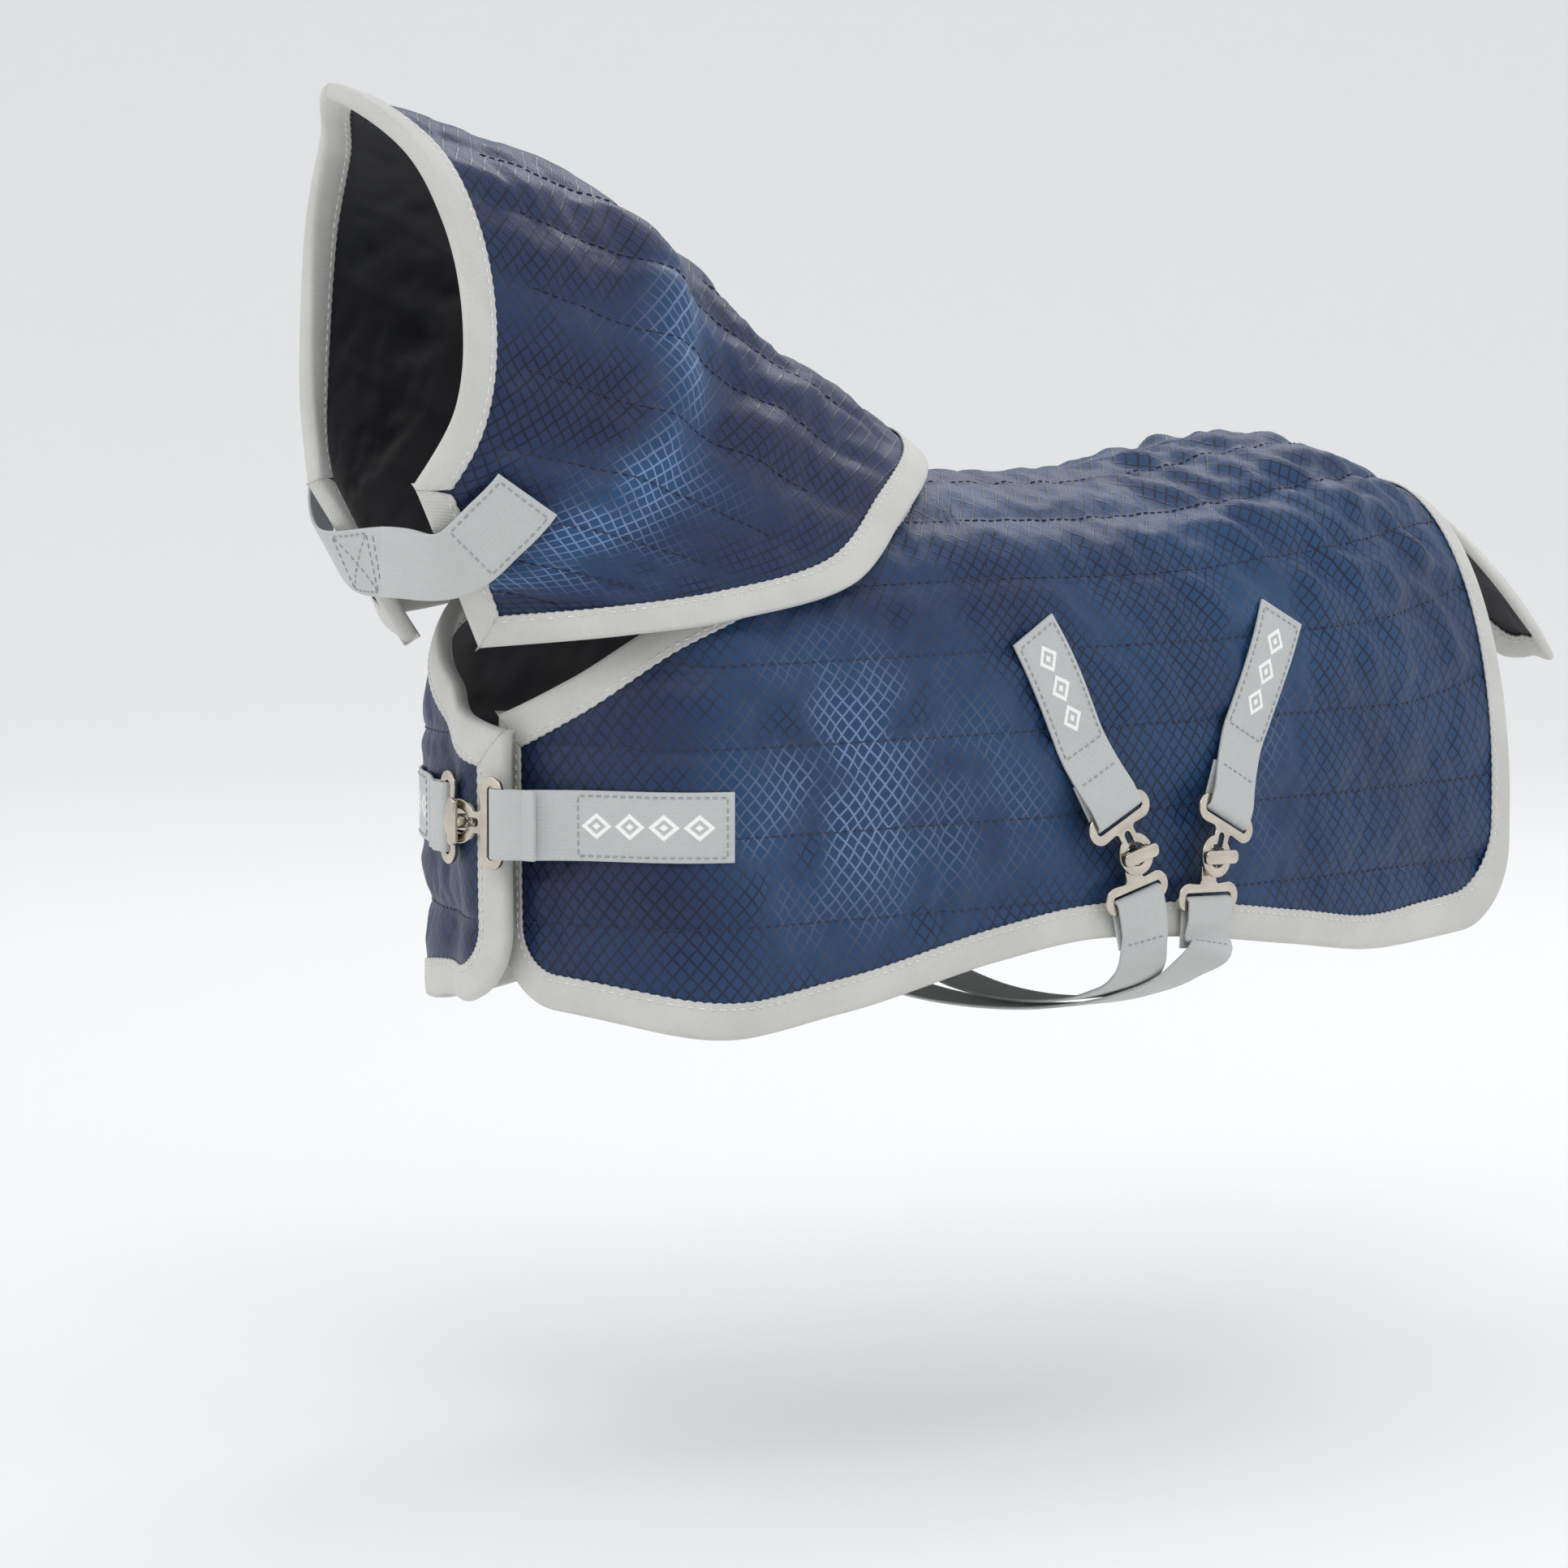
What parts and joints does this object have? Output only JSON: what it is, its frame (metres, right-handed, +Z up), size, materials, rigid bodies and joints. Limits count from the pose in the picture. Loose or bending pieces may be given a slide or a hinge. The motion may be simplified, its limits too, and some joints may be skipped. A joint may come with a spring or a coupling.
{
  "type": "turnout rug",
  "caption": "Small quilted turnout rug with a separate neck cover, bound edges, hook-and-eye chest and belly closures, a throat strap and a tail flap.",
  "frame": {"origin": "on the animal's back, at the middle of the rug's length, on the underside of the spine tape", "axes": "+X to the rear along the back, +Y to the off (right) side, +Z up"},
  "size_m": [0.5337, 0.1775, 0.3063],
  "materials": {
    "ripstop_shell": "satin navy ripstop, diamond grid",
    "polyester_wadding": "matt white fibre fill",
    "nylon_lining": "smooth near-black nylon",
    "edge_binding": "matt pale grey folded tape",
    "woven_webbing": "matt pale grey woven webbing",
    "polished_nickel": "polished pale nickel plate",
    "hook_and_loop": "matt grey hook-and-loop tape"
  },
  "bodies": {
    "rug": {"rug_shell_near": "ripstop_shell", "rug_shell_off": "ripstop_shell", "rug_wadding_near": "polyester_wadding", "rug_wadding_off": "polyester_wadding", "rug_lining_near": "nylon_lining", "rug_lining_off": "nylon_lining", "rug_binding_near": "edge_binding", "rug_binding_off": "edge_binding", "rug_spine_tape": "nylon_lining", "chest_strap_near": "woven_webbing", "chest_strap_off": "woven_webbing", "front_surcingle_near_strap": "woven_webbing", "front_surcingle_belly_strap": "woven_webbing", "rear_surcingle_near_strap": "woven_webbing", "rear_surcingle_belly_strap": "woven_webbing"},
    "neck_cover": {"neck_shell_near": "ripstop_shell", "neck_shell_off": "ripstop_shell", "neck_wadding_near": "polyester_wadding", "neck_wadding_off": "polyester_wadding", "neck_lining_near": "nylon_lining", "neck_lining_off": "nylon_lining", "neck_binding_near": "edge_binding", "neck_binding_off": "edge_binding", "neck_crest_tape": "nylon_lining", "throat_strap": "woven_webbing", "throat_loop_patch": "hook_and_loop"},
    "throat_fastener": {"throat_tab": "woven_webbing", "throat_hook_patch": "hook_and_loop"},
    "tail_flap": {"tail_flap_shell": "ripstop_shell", "tail_flap_lining": "nylon_lining", "tail_flap_binding": "edge_binding"},
    "chest_eye": {"chest_eye_plate": "polished_nickel"},
    "chest_hook": {"chest_hook_plate": "polished_nickel"},
    "front_surcingle_eye": {"front_surcingle_eye_plate": "polished_nickel"},
    "front_surcingle_hook": {"front_surcingle_hook_plate": "polished_nickel"},
    "rear_surcingle_eye": {"rear_surcingle_eye_plate": "polished_nickel"},
    "rear_surcingle_hook": {"rear_surcingle_hook_plate": "polished_nickel"}
  },
  "joints": [
    {"name": "neck_cover_lift", "type": "slide", "parent": "rug", "child": "neck_cover", "axis": [-0.84, 0, 0.5426], "range_m": [0, 0.15]},
    {"name": "throat_tab_peel", "type": "hinge", "parent": "neck_cover", "child": "throat_fastener", "pos_m": [-0.24012, -0.00524, -0.0175], "axis": [0.004, -0.016, -0.9999], "range_deg": [0, 100]},
    {"name": "tail_flap_raise", "type": "hinge", "parent": "rug", "child": "tail_flap", "pos_m": [0.2006, 0, -0.0065], "axis": [0, -1, 0], "range_deg": [0, 75]},
    {"name": "chest_eye_tilt", "type": "hinge", "parent": "rug", "child": "chest_eye", "pos_m": [-0.21301, -0.02148, -0.0991], "axis": [0, 0, -1], "range_deg": [0, 2.2]},
    {"name": "chest_hook_tilt", "type": "hinge", "parent": "rug", "child": "chest_hook", "pos_m": [-0.21024, 0.01122, -0.0991], "axis": [0, 0, 1], "range_deg": [0, 2.2]},
    {"name": "front_surcingle_eye_tilt", "type": "hinge", "parent": "rug", "child": "front_surcingle_eye", "pos_m": [-0.01338, -0.08553, -0.10123], "axis": [-0.8944, -0.0014, -0.4472], "range_deg": [0, 3.4]},
    {"name": "front_surcingle_hook_tilt", "type": "hinge", "parent": "rug", "child": "front_surcingle_hook", "pos_m": [-0.00175, -0.08401, -0.13225], "axis": [0.9678, 0.0061, 0.2515], "range_deg": [0, 3.4]},
    {"name": "rear_surcingle_eye_tilt", "type": "hinge", "parent": "rug", "child": "rear_surcingle_eye", "pos_m": [0.0378, -0.08389, -0.10426], "axis": [-0.8908, -0.0561, 0.451], "range_deg": [0, 2.4]},
    {"name": "rear_surcingle_hook_tilt", "type": "hinge", "parent": "rug", "child": "rear_surcingle_hook", "pos_m": [0.0297, -0.08292, -0.13578], "axis": [0.9981, 0.0534, -0.0317], "range_deg": [0, 2.4]}
  ],
  "couplings": [
    {"joint": "chest_hook_tilt", "follows": "chest_eye_tilt", "ratio": 1},
    {"joint": "front_surcingle_hook_tilt", "follows": "front_surcingle_eye_tilt", "ratio": 1},
    {"joint": "rear_surcingle_hook_tilt", "follows": "rear_surcingle_eye_tilt", "ratio": 1}
  ]
}
